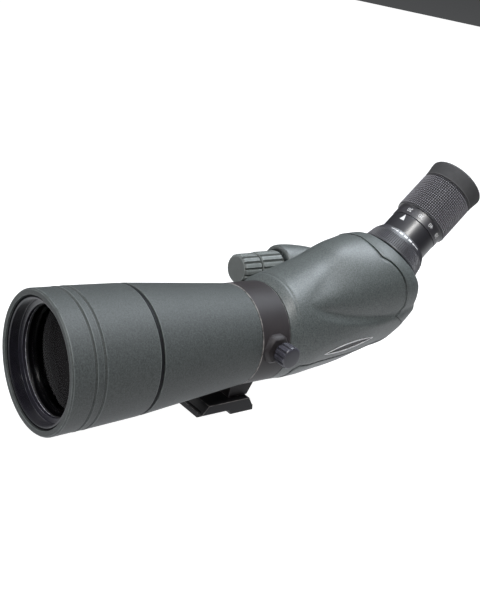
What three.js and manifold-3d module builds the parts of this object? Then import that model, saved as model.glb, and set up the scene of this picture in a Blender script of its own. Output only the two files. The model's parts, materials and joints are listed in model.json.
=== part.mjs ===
// An angled spotting scope: a 65 mm objective in a tapering barrel, a clamping collar with a tripod foot,
// a prism housing that bends the view up by 45 degrees, two focus knobs and a removable zoom eyepiece.
// The barrel's own frame is used below: Y runs back along the optical axis from the sunshade's front rim,
// Z is up and +X is the observer's left. The last group moves it all onto the foot's bottom face.
import * as THREE from "three";
import { mergeVertices } from "three/addons/utils/BufferGeometryUtils.js";
import Module from "manifold-3d";

const wasm = await Module();
wasm.setup();

// Driving sizes, in mm. Stations are distances back from the front rim.
const APERTURE = 65; // clear width of the objective
const SHADE_R = 42, SHADE_SEAM_R = 40.4, SHADE_BORE_R = 38.1, SHADE_REAR = 57.8;
const CELL_R = 37.3, CELL_FRONT = 1.6, CELL_REAR = 68;
const BARREL_FRONT = 58.4, BARREL_R = 40.25, BARREL_END_R = 33.9, BARREL_REAR = 177;
const COLLAR_FRONT = 140.4, COLLAR_REAR = 164.2, COLLAR_R = 34, BEARING_R = 30.6;
const FOOT_TOP = -42.5, FOOT_UNDER = -49.4, FOOT_BOTTOM = -52.7, FOOT_PAD_Y = 150;
const CLAMP_Y = 152.3, CLAMP_Z = 3.7, SCREW_X = [-7, 7];
const BOSS_Y = 151.4, BOSS_CORNER = 10.9;
const KNOB_X = -37.5, KNOB_Z = 29.4, KNOB_FACE = 169.2; // the focus knobs' axis and their front face
const EYE_Y = 239.4, EYE_TILT = 45; // where the eyepiece axis leaves the optical axis, and its angle
const SOCKET_T = 60; // housing's socket face, along the eyepiece axis
const LOCK_T = [63.3, 75.2, 79.4], LOCK_R = [24.6, 22.4, 20.4];
const INDEX_R = 19.3, SCALE_T = [93.8, 101.7], SCALE_R = 19.6;
const GRIP_T = [101.9, 133.5], GRIP_R = 21.3;
const EYECUP_T = [134.1, 146.8], EYECUP_R = 22.3;

const scope = new THREE.Group();

// ---- ways of making a piece ----
const radians = THREE.MathUtils.degToRad;

function solidOf(geometry) {
  const bare = geometry.clone();
  bare.deleteAttribute("normal");
  bare.deleteAttribute("uv");
  const merged = mergeVertices(bare, 1e-4);
  return new wasm.Manifold(new wasm.Mesh({
    numProp: 3, vertProperties: merged.attributes.position.array, triVerts: merged.index.array,
  }));
}

function skinOf(solid) {
  const mesh = solid.getMesh();
  const geometry = new THREE.BufferGeometry();
  geometry.setAttribute("position", new THREE.BufferAttribute(mesh.vertProperties, 3));
  geometry.setIndex(new THREE.BufferAttribute(mesh.triVerts, 1));
  return geometry;
}

const cut = (body, ...tools) => skinOf(tools.reduce((s, t) => s.subtract(solidOf(t)), solidOf(body)));
const join = (body, ...more) => skinOf(more.reduce((s, t) => s.add(solidOf(t)), solidOf(body)));
// Drops the slivers that a cut leaves loose.
const whole = (geometry) => skinOf(solidOf(geometry).decompose().sort((a, b) => b.volume() - a.volume())[0]);
const shared = (a, b) => skinOf(solidOf(a).intersect(solidOf(b)));

// A turned piece about Y from a closed outline of [radius, station] corners.
function turned(outline, sides = 24) {
  const points = outline.map(([r, y]) => new THREE.Vector2(r, y));
  if (THREE.ShapeUtils.area(points) < 0) points.reverse();
  return new THREE.LatheGeometry([...points, points[0]], sides);
}

const disc = (r, from, to, sides = 24) => turned([[0, from], [r, from], [r, to], [0, to]], sides);
const ring = (r, bore, from, to, sides = 24) => turned([[bore, from], [r, from], [r, to], [bore, to]], sides);
const box = (x, y, z, at) => new THREE.BoxGeometry(x, y, z).translate(...at);

// Turns a piece made about Y onto the eyepiece axis, onto X, or onto the focus knobs' axis.
const onEyeAxis = (g) => g.rotateX(radians(EYE_TILT)).translate(0, EYE_Y, 0);
const alongX = (g, y, z) => g.rotateZ(-Math.PI / 2).translate(0, y, z);
const alongZ = (g, x, y) => g.rotateX(Math.PI / 2).translate(x, y, 0);
const onKnobAxis = (g) => g.translate(KNOB_X, KNOB_FACE, KNOB_Z);

// A plate cut to an outline in the YZ plane, from one X to another.
function sidePlate(outline, fromX, toX) {
  const shape = new THREE.Shape(outline.map(([y, z]) => new THREE.Vector2(y, z)));
  const g = new THREE.ExtrudeGeometry(shape, { depth: toX - fromX, bevelEnabled: false, curveSegments: 6 });
  g.rotateX(Math.PI / 2).rotateZ(Math.PI / 2);
  return g.translate(fromX, 0, 0);
}

// A closed skin through rings of points, each ring [[x, y, z], ...], closed by a fan at both ends.
function loft(rings) {
  const sides = rings[0].length;
  const middle = (points) => [0, 1, 2].map((k) => points.reduce((sum, p) => sum + p[k], 0) / sides);
  const points = [...rings.flat(), middle(rings[0]), middle(rings[rings.length - 1])];
  const faces = [];
  const last = (rings.length - 1) * sides;
  for (let j = 0; j < sides; j++) {
    const next = (j + 1) % sides;
    for (let i = 0; i + 1 < rings.length; i++) {
      const [a, b, c, d] = [i * sides + j, i * sides + next, (i + 1) * sides + next, (i + 1) * sides + j];
      faces.push(a, b, c, a, c, d);
    }
    faces.push(points.length - 2, next, j, points.length - 1, last + j, last + next);
  }
  const g = new THREE.BufferGeometry();
  g.setAttribute("position", new THREE.Float32BufferAttribute(points.flat(), 3));
  g.setIndex(faces);
  return g;
}

// A knob with flutes cut along its rim, made about Y; profile rows are [radius, station, share of the flute].
function fluted(profile, flutes, depth) {
  const steps = [0, 0.45, 0.6, 0.85];
  return loft(profile.map(([r, y, share]) => Array.from({ length: flutes * steps.length }, (_, k) => {
    const inFlute = k % steps.length > 1;
    const turn = ((Math.floor(k / steps.length) + steps[k % steps.length]) / flutes) * 2 * Math.PI;
    const at = inFlute ? r - depth * share : r;
    return [at * Math.sin(turn), y, at * Math.cos(turn)];
  })));
}

function add(name, geometry, colour, roughness, metalness) {
  const mesh = new THREE.Mesh(geometry, new THREE.MeshStandardMaterial({ color: colour, roughness, metalness }));
  mesh.name = name;
  scope.add(mesh);
}

const GREEN = [0x4f5652, 0.6, 0.1];
const BLACK = [0x2c2b2e, 0.45, 0.4];
const MATT = [0x141416, 0.9, 0.0];
const RUBBER = [0x232325, 0.85, 0.0];
const STEEL = [0x9a9da0, 0.3, 1.0];
const BRASS = [0xb08d4a, 0.35, 1.0];
const GLASS = [0xaebfc4, 0.05, 0.0];

// ---- sunshade ----
const grooves = [[14.6, 41.78], [20.6, 41.6]];
add("sunshade", turned([
  [SHADE_BORE_R + 0.3, 0], [SHADE_R - 0.9, 0], [SHADE_R - 0.2, 0.4], [SHADE_R, 1.2],
  ...grooves.flatMap(([y, r]) => [[r, y - 0.5], [r - 0.5, y], [r, y + 0.8]]),
  [SHADE_SEAM_R, SHADE_REAR - 0.4], [SHADE_SEAM_R - 0.4, SHADE_REAR],
  [SHADE_BORE_R, SHADE_REAR], [SHADE_BORE_R, 0.6],
]), ...GREEN);
add("sunshade_liner", ring(SHADE_BORE_R - 0.1, 37.6, 1.2, SHADE_REAR - 1.5), ...MATT);

// ---- objective ----
const glassR = APERTURE / 2 + 1.5;
add("objective_cell", turned([
  [36.1, CELL_FRONT], [36.9, CELL_FRONT], [CELL_R, CELL_FRONT + 0.4], [CELL_R, CELL_REAR],
  [33.6, CELL_REAR], [33.6, 30], [32.6, 28], [32.6, 24.6], [glassR + 0.1, 24.6],
  [glassR + 0.1, 11], [35.4, 11], [35.4, 7.4],
]), ...MATT);
add("objective_retaining_ring", cut(
  turned([[35.3, 7.6], [35.3, 9.6], [APERTURE / 2, 10.6], [APERTURE / 2, 8.4]]),
  box(2.4, 1.2, 75, [0, 7.9, 0]),
), ...BLACK);

// A lens from the radii of its two curved faces; a positive bulge points out of the glass.
function lens(r, front, back, frontBulge, backBulge, sides = 24) {
  const steps = 2;
  const face = (y, bulge, sign) => Array.from({ length: steps + 1 }, (_, i) => {
    const at = (r * i) / steps;
    return [at, y - sign * bulge * (1 - (at / r) ** 2)];
  });
  return turned([...face(front, frontBulge, 1), ...face(back, backBulge, -1).reverse()], sides);
}
add("objective_front_lens", lens(glassR, 13.2, 16.6, 2.4, 1.4), ...GLASS);
add("objective_lens_spacer", ring(glassR, APERTURE / 2, 17.1, 18.2), ...MATT);
add("objective_rear_lens", lens(glassR, 18.4, 24.4, -1.2, -0.6), ...GLASS);
add("objective_o_ring", turned([
  [glassR - 1.4, 10.9], [glassR - 0.4, 10.75], [glassR - 0.2, 11.6], [glassR - 1.0, 12.2], [glassR - 1.6, 11.6],
]), ...RUBBER);

// ---- main barrel ----
const taper = (y) => THREE.MathUtils.mapLinear(y, 62, COLLAR_FRONT, BARREL_R, BARREL_END_R);
add("main_barrel", turned([
  [CELL_R + 0.1, BARREL_FRONT], [39.2, BARREL_FRONT], [39.2, 61.6], [BARREL_R - 0.4, 61.6], [BARREL_R, 62],
  [BARREL_END_R, COLLAR_FRONT - 0.4], [BEARING_R, COLLAR_FRONT - 0.4], [BEARING_R, COLLAR_REAR + 0.2],
  [29.6, COLLAR_REAR + 0.2], [29.6, BARREL_REAR], [27.6, BARREL_REAR], [27.6, 144], [31.4, 130],
  [taper(72) - 3.2, 72], [taper(72) - 3.2, CELL_REAR], [CELL_R + 0.1, CELL_REAR],
]), ...GREEN);
[["front", 78, 35.0, 28.6], ["middle", 104, 32.9, 25.2], ["rear", 150, 27.5, 20.4]].forEach(([where, y, r, edge]) => {
  add(`baffle_${where}`, turned([[edge, y - 0.2], [edge, y], [r - 1.2, y + 2.6], [r - 1.2, y + 6], [r, y + 6], [r, y]]),
    ...MATT);
});

// ---- clamping collar with its boss, and the tripod foot ----
const bore = disc(BEARING_R + 0.3, COLLAR_FRONT - 5, COLLAR_REAR + 5);
const collarBlank = join(
  turned([
    [0, COLLAR_FRONT], [COLLAR_R - 0.5, COLLAR_FRONT], [COLLAR_R, COLLAR_FRONT + 0.5],
    [COLLAR_R, COLLAR_REAR - 0.5], [COLLAR_R - 0.5, COLLAR_REAR], [0, COLLAR_REAR],
  ]),
  sidePlate([0, 1, 2, 3, 4, 5].map((k) => [
    BOSS_Y + BOSS_CORNER * Math.cos(k * Math.PI / 3), CLAMP_Z + BOSS_CORNER * Math.sin(k * Math.PI / 3),
  ]), 24, 36.6),
  sidePlate([[COLLAR_FRONT + 0.4, -28], [COLLAR_REAR - 0.4, -28], [161, -33.6], [157.2, FOOT_TOP],
    [COLLAR_FRONT + 0.4, FOOT_TOP]], -11.5, 11.5),
);
add("collar", cut(collarBlank, bore,
  alongX(disc(3.15, 25, 45, 24), CLAMP_Y, CLAMP_Z),
  ...SCREW_X.map((x) => alongZ(disc(2.1, -60, -33, 16), x, FOOT_PAD_Y))), ...BLACK);

const footBlank = join(
  sidePlate([[116.4, FOOT_UNDER], [160.8, FOOT_UNDER], [156.2, FOOT_TOP], [121.4, FOOT_TOP]], -16, 16),
  box(23, 4.4, 4, [0, 118.6, FOOT_BOTTOM + 2]),
  sidePlate([[139.4, FOOT_UNDER + 1], [141.4, FOOT_BOTTOM], [161.4, FOOT_BOTTOM], [160.6, FOOT_UNDER + 1]], -16, 16),
  alongZ(disc(7, -4, 4, 24), 0, 129.5).translate(0, 0, FOOT_UNDER + 0.7),
);
add("tripod_foot", cut(footBlank,
  alongZ(disc(4.6, -20, 20, 24), 0, 129.5).translate(0, 0, FOOT_BOTTOM),
  ...SCREW_X.flatMap((x) => [
    alongZ(disc(2.2, -20, 20, 16), x, FOOT_PAD_Y).translate(0, 0, FOOT_BOTTOM),
    alongZ(disc(3.7, -4.4, 4.4, 20), x, FOOT_PAD_Y).translate(0, 0, FOOT_BOTTOM),
  ])), ...BLACK);
add("thread_bush", alongZ(ring(4.5, 2.6, -4.9, 4.9), 0, 129.5).translate(0, 0, FOOT_BOTTOM + 5.2), ...BRASS);
["right", "left"].forEach((where, i) => {
  add(`foot_screw_${where}`, alongZ(cut(
    turned([[0, 0], [3.4, 0], [3.4, 3.4], [2.0, 3.4], [2.0, 16], [0, 16]], 16),
    new THREE.CylinderGeometry(1.7, 1.7, 3.6, 6),
  ), SCREW_X[i], FOOT_PAD_Y).translate(0, 0, FOOT_BOTTOM + 0.9), ...STEEL);
});

add("clamp_pad", alongX(disc(2.9, 31, 33.2, 24), CLAMP_Y, CLAMP_Z), ...BRASS);
add("clamp_screw", alongX(turned([[0, 33.3], [3.0, 33.3], [3.0, 47], [0, 47]], 24), CLAMP_Y, CLAMP_Z), ...STEEL);
add("clamp_knob", cut(alongX(join(
  fluted([[6.9, 39.4, 0], [7.5, 40.2, 1], [7.5, 47.6, 1], [6.6, 49, 0]], 12, 0.7),
  disc(5.2, 37.6, 40.4, 24),
), CLAMP_Y, CLAMP_Z), alongX(disc(3.1, 30, 47.1, 24), CLAMP_Y, CLAMP_Z)), ...BLACK);

// ---- prism housing ----
// Sections along the housing: [y, z, tilt, top, bottom, half width, squareness of the upper half]. The neck
// is straight; the middle swings about a line above the housing; the end runs along the eyepiece axis.
const NECK_END = 172, SWING_Z = 134.5;
const swing = (tilt, top, bottom, half, square) => {
  const reach = SWING_Z + 7.7 * (tilt / EYE_TILT);
  return [NECK_END + reach * Math.sin(radians(tilt)), SWING_Z - reach * Math.cos(radians(tilt)), tilt,
    top, bottom, half, square];
};
const alongEye = (t, top, bottom, half) =>
  [EYE_Y + t * Math.cos(radians(EYE_TILT)), t * Math.sin(radians(EYE_TILT)), EYE_TILT, top, bottom, half, 2];
const SECTIONS = [
  [COLLAR_REAR + 0.4, 0, 0, 34, 34, 34, 2], [166.8, 0, 0, 35.8, 34, 34.3, 2.05],
  [169.2, 0, 0, 37.6, 34, 34.6, 2.1], [171.2, 0, 0, 38.4, 34, 34.8, 2.15],
  swing(3, 40.5, 33.9, 35, 2.15), swing(7, 43, 34, 35.1, 2.15), swing(12, 45.6, 34.8, 35.3, 2.15),
  swing(19.5, 48.1, 38.2, 35.6, 2.15), swing(25, 49.6, 41.7, 35.9, 2.15), swing(30.5, 50.6, 45.4, 36.2, 2.1),
  swing(36, 49.4, 48, 36.6, 2.05), swing(41, 46, 48.2, 36.8, 2), swing(45, 42, 45.8, 36.6, 2),
  alongEye(51, 39.2, 42, 36.1), alongEye(54, 36.6, 38.4, 35.3), alongEye(57, 33.8, 35.2, 33.8),
  alongEye(58.8, 32.2, 33, 32.5), alongEye(SOCKET_T, 30.6, 30.8, 30.8),
];

// Smooth section part way along the list.
function sectionAt(place) {
  const i = Math.min(Math.floor(place), SECTIONS.length - 2);
  const [a, b, c, d] = [i - 1, i, i + 1, i + 2].map((k) => SECTIONS[THREE.MathUtils.clamp(k, 0, SECTIONS.length - 1)]);
  const f = place - i;
  return b.map((_, k) => 0.5 * (2 * b[k] + (c[k] - a[k]) * f + (2 * a[k] - 5 * b[k] + 4 * c[k] - d[k]) * f * f
    + (3 * b[k] - a[k] - 3 * c[k] + d[k]) * f * f * f));
}

// Hand hollow: a leaf-shaped dish in each side, from a point near the neck to the rear seam.
const HOLLOW_DEPTH = 1.7;
const HOLLOW_TOP = [[179, 29.5], [190, 38.5], [208.6, 47.3], [226.5, 55.2], [238, 60], [262, 68]];
const HOLLOW_FOOT = [[179, 29.5], [189, 25], [215.7, 19], [238, 15.5], [258, 14], [274, 14.2], [300, 17]];
const heightOn = (line, y) => {
  const k = line.findIndex(([at], i) => i + 1 < line.length && y >= at && y <= line[i + 1][0]);
  return k < 0 ? null : THREE.MathUtils.mapLinear(y, line[k][0], line[k + 1][0], line[k][1], line[k + 1][1]);
};
function hollowDepth(y, z) {
  const [top, foot] = [heightOn(HOLLOW_TOP, y), heightOn(HOLLOW_FOOT, y)];
  if (foot === null) return 0;
  const below = top === null ? 1 : THREE.MathUtils.smoothstep(top - z, 0, 9);
  return HOLLOW_DEPTH * below * THREE.MathUtils.smoothstep(z - foot, -0.5, 3.5) * THREE.MathUtils.smoothstep(y, 179, 196);
}

// The housing's closed skin, set in by a wall thickness; the hollow is pressed into the outer skin alone.
function housingSkin(inset, from, to, stations, sides) {
  return loft(Array.from({ length: stations + 1 }, (_, i) => {
    const [y, z, tilt, top, bottom, half, square] = sectionAt(from + ((to - from) * i) / stations);
    return Array.from({ length: sides }, (_, j) => {
      const turn = (-j / sides) * 2 * Math.PI;
      const [c, s] = [Math.cos(turn), Math.sin(turn)];
      const power = 2 / (s > 0 ? square : 2);
      let x = (half - inset) * Math.sign(c) * Math.abs(c) ** power;
      const rise = ((s > 0 ? top : bottom) - inset) * Math.sign(s) * Math.abs(s) ** power;
      const [py, pz] = [y - rise * Math.sin(radians(tilt)), z + rise * Math.cos(radians(tilt))];
      if (inset === 0) x -= Math.sign(x) * hollowDepth(py, pz) * Math.min(1, Math.abs(x) / 8);
      return [x, py, pz];
    });
  }));
}

const WALL = 3.2, LAST = SECTIONS.length - 1;
const housingSolid = housingSkin(0, 0, LAST, 22, 32);
const housingRoom = cut(housingSkin(WALL, 3, 15.4, 9, 20), onKnobAxis(disc(14.6, -9, 42, 24)));
const housingCut = skinOf(solidOf(housingSolid).subtract(solidOf(housingRoom))
  .subtract(solidOf(disc(29.7, 150, 182)))
  .subtract(solidOf(onEyeAxis(disc(23.2, 50, 66))))
  .subtract(solidOf(onKnobAxis(box(18, 17.5, 18, [4, 53, -4])))));
// Everything behind and below the seam belongs to the rear frame.
const SEAM = [[246.5, 75], [246.8, 62.5], [248.8, 56.8], [254, 54.6], [258, 51.2], [261.7, 46.8], [265.7, 40.1],
  [268.3, 34], [270.3, 28.4], [271.6, 22.5], [268.7, 17.4], [265.6, 14.6], [278.5, 7.2], [284, 0.4], [280, -5],
  [268, -10.5], [256, -14], [244.8, -15.9], [222.3, -15.6], [206.6, -15.9], [191, -15.4], [180, -14], [176, -17],
  [174.5, -40]];
const seamCutter = (gap) => sidePlate([
  ...SEAM.map(([y, z], i) => {
    const [before, after] = [SEAM[Math.max(i - 1, 0)], SEAM[Math.min(i + 1, SEAM.length - 1)]];
    const [dy, dz] = [after[0] - before[0], after[1] - before[1]];
    const run = Math.hypot(dy, dz);
    return [y - (gap * dz) / run, z + (gap * dy) / run];
  }), [174.5 + gap, -60], [340, -60], [340, 90], [246.5 + gap, 90],
], -50, 50);
const knobRoom = onKnobAxis(disc(12, -15, 38.7, 24));

// Blank badge plate, let into the shell's lower side.
const BADGE = { y: 225.7, z: -4.9, long: 49.5, tall: 7.6, turn: 7.7 };
const badgeRim = (grow) => Array.from({ length: 13 }, (_, i) => {
  const f = (i / 12) * 2 - 1;
  return [f * (BADGE.long / 2 + grow), (BADGE.tall / 2 + grow * 0.8) * (1 - f * f)];
});
const badgeBlock = (grow) => {
  const rim = badgeRim(grow);
  const outline = [...rim.slice(0, -1), ...rim.slice(1).map(([u, v]) => [u, -v]).reverse()];
  const [c, d] = [Math.cos(radians(BADGE.turn)), Math.sin(radians(BADGE.turn))];
  return sidePlate(outline.map(([u, v]) => [BADGE.y + u * c - v * d, BADGE.z + u * d + v * c]), 22, 40);
};
const badgePocket = cut(badgeBlock(0.3), housingSkin(1.2, 0, LAST, 22, 32));
add("housing_shell", cut(cut(housingCut, seamCutter(0)), knobRoom, badgePocket), ...GREEN);
add("rear_frame", shared(housingCut, seamCutter(0.4)), ...GREEN);
add("badge_plate", cut(shared(badgeBlock(0), housingSolid), housingSkin(0.9, 0, LAST, 22, 32)), ...BLACK);

// Fairing over the focus screw, blended into the shoulder away from the observer's eye side.
const fairingSkin = onKnobAxis(loft([
  [38.4, 0, 0, 13.4], [39.8, 0, 0, 15], [46, 0.4, 0, 15.4], [55, 1.6, 0, 15], [66, 4.5, 0, 14],
  [79, 8.5, -0.8, 12], [92, 13, -3.2, 9.6], [102, 17, -6.6, 5.6],
].map(([y, dx, dz, r]) => Array.from({ length: 28 }, (_, j) => {
  const turn = (-j / 28) * 2 * Math.PI;
  return [dx + r * Math.cos(turn), y, dz + r * Math.sin(turn)];
}))));
add("focus_fairing", whole(cut(fairingSkin, housingSkin(-0.3, 0, LAST, 22, 32),
  onKnobAxis(disc(9.4, 45.3, 82)), onKnobAxis(disc(12.2, 30, 40.6)), onKnobAxis(disc(5.5, 20, 46, 24)),
)), ...GREEN);

// ---- prism and the cage that holds it ----
const PRISM_HALF = 15, PRISM_FACE = 232.6;
add("prism", sidePlate([[PRISM_FACE, -18.5], [PRISM_FACE, 20], [241.5, 20], [269, -7.5], [263.5, -12]], -PRISM_HALF,
  PRISM_HALF), ...GLASS);
const cheek = [[PRISM_FACE - 1, -23], [PRISM_FACE - 1, 23], [243, 23], [273, -7], [264, -16]];
const cage = join(
  box(39, 2.6, 46, [0, PRISM_FACE - 1.6, 0]),
  sidePlate(cheek, PRISM_HALF + 0.3, PRISM_HALF + 3.3), sidePlate(cheek, -PRISM_HALF - 3.3, -PRISM_HALF - 0.3),
  box(34, 6, 2.6, [0, PRISM_FACE + 0.5, -21.6]),
  ...[-1, 1].flatMap((side) => [
    box(30, 9, 6, [side * 30, 246, 4]), box(7, 9, 22, [side * 16, 239, -31]),
  ]),
);
add("prism_cage", cut(shared(cage, housingSkin(WALL + 0.35, 3, 15.4, 9, 20)), disc(13.5, 225, 240)), ...MATT);
add("prism_strap", sidePlate([[236, 23.4], [244, 23.4], [249, 18.6], [248.4, 18], [243.7, 22.6], [236, 22.6]], -14,
  14), ...STEEL);
add("eyepiece_socket", onEyeAxis(turned([
  [17.6, 53], [23.1, 53], [23.1, SOCKET_T + 0.3], [24, SOCKET_T + 0.3], [24, SOCKET_T + 1.3], [21, SOCKET_T + 1.3],
  [21, 66], [17.6, 66],
])), ...BLACK);

// ---- focusing drive: a screw along the knobs' axis draws a lens carriage along two rods ----
const CARRIAGE = 215.8, LENS_R = 15;
const RODS = [[15, -14.1], [-2.9, -20.4]];
const rodAt = (r, from, to, [x, z]) => disc(r, from, to, 12).translate(x, 0, z);
add("rod_bulkhead", cut(ring(30.3, 18.4, 177.4, 180.4), ...RODS.map((at) => rodAt(1.6, 170, 190, at)),
), ...MATT);
add("guide_rod_near", rodAt(1.5, 178, PRISM_FACE - 3, RODS[0]), ...STEEL);
add("guide_rod_far", rodAt(1.5, 178, PRISM_FACE - 3, RODS[1]), ...STEEL);
const armAngle = Math.atan2(KNOB_Z, -KNOB_X);
const arm = box(28, 6, 5, [-30, CARRIAGE + 3.5, 0]).rotateY(armAngle);
add("focus_carriage", cut(join(
  ring(18.6, LENS_R + 0.2, CARRIAGE, CARRIAGE + 7), arm,
  onKnobAxis(disc(5.2, CARRIAGE - KNOB_FACE, CARRIAGE - KNOB_FACE + 7.5, 20)),
  ...RODS.map((at) => rodAt(3.6, CARRIAGE, CARRIAGE + 7.5, at)),
), disc(LENS_R + 0.2, CARRIAGE - 1, CARRIAGE + 12), onKnobAxis(disc(2.8, 20, 80, 20)),
...RODS.map((at) => rodAt(1.8, 190, 230, at))), ...BLACK);
add("focus_lens", lens(LENS_R, CARRIAGE + 2.6, CARRIAGE + 4.4, -0.9, 1.0), ...GLASS);
add("focus_bush", onKnobAxis(ring(5.4, 3.2, 40.7, 45.2, 24)), ...BRASS);
add("lead_screw", onKnobAxis(turned([[0, 18.9], [3, 18.9], [3, 45.6], [2.5, 45.6], [2.5, 76], [2, 76.6], [0, 76.6]],
  20)), ...STEEL);
add("coarse_focus_knob", onKnobAxis(cut(
  fluted([[10.2, 16.7, 0], [11.2, 17.7, 1], [11.2, 36.4, 1], [10.4, 37.4, 0]], 14, 0.8),
  disc(3.1, 18.8, 50, 20), disc(5.2, 10, 18.8, 24),
)), ...GREEN);
add("fine_focus_knob", onKnobAxis(join(
  fluted([[9.3, 0, 0], [10.6, 1.4, 1], [10.6, 15, 1], [9.8, 16, 0]], 14, 0.8),
  disc(4.9, 15.4, 18.4, 24),
)), ...GREEN);

// ---- zoom eyepiece ----
add("lock_ring", onEyeAxis(turned([
  [21.3, LOCK_T[0]], [LOCK_R[0] - 0.5, LOCK_T[0]], [LOCK_R[0], LOCK_T[0] + 0.6], [LOCK_R[1], LOCK_T[1]],
  [LOCK_R[2], LOCK_T[2] - 0.6], [LOCK_R[2] - 0.4, LOCK_T[2]], [INDEX_R + 0.3, LOCK_T[2]],
  [INDEX_R + 0.3, LOCK_T[1] + 0.6], [21.3, LOCK_T[1] - 0.6],
])), ...BLACK);
add("eyepiece_barrel", onEyeAxis(turned([
  [15.6, 47.6], [14.2, 47.6], [14.2, 46], [17.3, 46], [17.3, 66.3], [20.9, 66.3], [20.9, 74.4], [INDEX_R, 74.4],
  [INDEX_R, SCALE_T[0] - 0.5], [INDEX_R - 0.4, SCALE_T[0] - 0.3], [17.2, SCALE_T[0] - 0.3], [17.2, 110], [15.6, 110],
])), ...BLACK);
add("zoom_ring", onEyeAxis(turned([
  [17.5, SCALE_T[0]], [SCALE_R - 0.3, SCALE_T[0]], [SCALE_R, SCALE_T[0] + 0.3], [SCALE_R, SCALE_T[1]],
  [GRIP_R - 0.5, SCALE_T[1]], [GRIP_R - 0.5, GRIP_T[0]], [SCALE_R, GRIP_T[0]], [SCALE_R, GRIP_T[1]], [17.5, GRIP_T[1]],
])), ...BLACK);
add("zoom_grip", onEyeAxis(turned([
  [SCALE_R + 0.1, GRIP_T[0]], [GRIP_R - 0.4, GRIP_T[0]], [GRIP_R, GRIP_T[0] + 0.5], [GRIP_R + 0.1, GRIP_T[1] - 0.5],
  [GRIP_R - 0.3, GRIP_T[1]], [SCALE_R + 0.1, GRIP_T[1]],
])), ...RUBBER);
add("field_lens", onEyeAxis(lens(14.1, 47, 49, 1.2, 1.2)), ...GLASS);
// Two sliding cells, each a ring with its lens, shift against each other as the zoom ring turns.
[["front", 60], ["rear", 86]].forEach(([where, t]) => {
  add(`zoom_cell_${where}`, onEyeAxis(turned([[12.8, t + 1.4], [12.1, t + 1.2], [12.1, t], [15.3, t], [15.3, t + 7],
    [12.8, t + 7]])), ...BLACK);
  add(`zoom_lens_${where}`, onEyeAxis(lens(12.7, t + 3, t + 4.6, 1.2, 0.6)), ...GLASS);
});
add("eye_lens_housing", onEyeAxis(turned([[12.4, 106], [15.4, 106], [15.4, 140], [11.6, 140], [11.6, 138.6],
  [13.2, 138.4], [13.2, 112], [12.4, 110]])), ...BLACK);
add("eye_lens", onEyeAxis(lens(13.1, 131.6, 136.4, 1.6, 1.8)), ...GLASS);
add("eyecup_carrier", onEyeAxis(ring(17.2, 15.7, 113, 141.4)), ...BLACK);
add("eyecup", onEyeAxis(turned([
  [17.4, EYECUP_T[0]], [GRIP_R - 0.4, EYECUP_T[0]], [GRIP_R, EYECUP_T[0] + 0.6], [21.5, 138.5],
  [EYECUP_R - 0.1, 144], [EYECUP_R, 145.6], [EYECUP_R - 0.6, EYECUP_T[1]], [18.9, EYECUP_T[1]], [17.4, 144.8],
])), ...RUBBER);

// The foot's flat pad is the part's own datum.
scope.position.set(0, -FOOT_PAD_Y, -FOOT_BOTTOM);

export default scope;
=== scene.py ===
# Angled spotting scope on its tripod foot: a 65 mm objective in a tapered barrel, a clamping collar, a
# prism housing that turns the view up by 45 degrees, two focus knobs and a zoom eyepiece. Sizes are in
# millimetres: stations run back along the barrel from the sunshade's rim, or up the eyepiece's axis, and
# the rest are radii.
import json
import math

import bmesh
import bpy
import numpy as np
from mathutils import Matrix, Vector


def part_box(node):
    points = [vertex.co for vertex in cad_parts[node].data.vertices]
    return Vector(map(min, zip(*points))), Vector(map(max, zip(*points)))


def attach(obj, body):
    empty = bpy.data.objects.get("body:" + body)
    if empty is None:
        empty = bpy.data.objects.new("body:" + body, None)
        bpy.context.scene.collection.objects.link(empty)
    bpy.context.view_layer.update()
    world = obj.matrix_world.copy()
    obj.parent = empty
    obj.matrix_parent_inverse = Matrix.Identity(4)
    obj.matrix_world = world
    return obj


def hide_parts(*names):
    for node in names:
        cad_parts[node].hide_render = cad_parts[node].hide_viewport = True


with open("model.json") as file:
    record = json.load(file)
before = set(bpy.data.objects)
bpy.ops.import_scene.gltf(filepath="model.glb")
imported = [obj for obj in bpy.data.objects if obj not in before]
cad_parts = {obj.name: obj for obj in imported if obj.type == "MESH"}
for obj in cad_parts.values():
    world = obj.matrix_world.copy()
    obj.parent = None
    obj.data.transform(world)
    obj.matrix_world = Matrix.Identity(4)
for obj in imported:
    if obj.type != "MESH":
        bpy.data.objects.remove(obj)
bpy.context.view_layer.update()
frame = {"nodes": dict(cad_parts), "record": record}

scene = bpy.context.scene

# ---- camera ----
# It stands ahead of the objective on the clamp knob's side, looks down a little, and leans to its right.
turn, height, lean = (math.radians(a) for a in (46.50, 20.76, 11.89))
away = Vector((math.sin(turn) * math.cos(height), -math.cos(turn) * math.cos(height), math.sin(height)))
level = Vector((0, 0, 1)).cross(away).normalized()
upright = away.cross(level)
across = math.cos(lean) * level + math.sin(lean) * upright
upward = -math.sin(lean) * level + math.cos(lean) * upright
camera = bpy.data.objects.new("camera", bpy.data.cameras.new("camera"))
camera.data.lens, camera.data.sensor_width = 51.0, 36
camera.data.clip_start, camera.data.clip_end = 0.01, 100
facing = Matrix((across, upward, away)).transposed().to_4x4()
camera.matrix_world = Matrix.Translation((0.3769, -0.3640, 0.2739)) @ facing
scene.collection.objects.link(camera)
scene.camera = camera

# ---- floor and studio light ----
# A white table in a bright room. A large soft light hangs overhead, a smaller and brighter one stands ahead
# on the clamp knob's side, and weak ones at the left and in front open up the shadows.
scene.view_settings.view_transform = "Standard"


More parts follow.
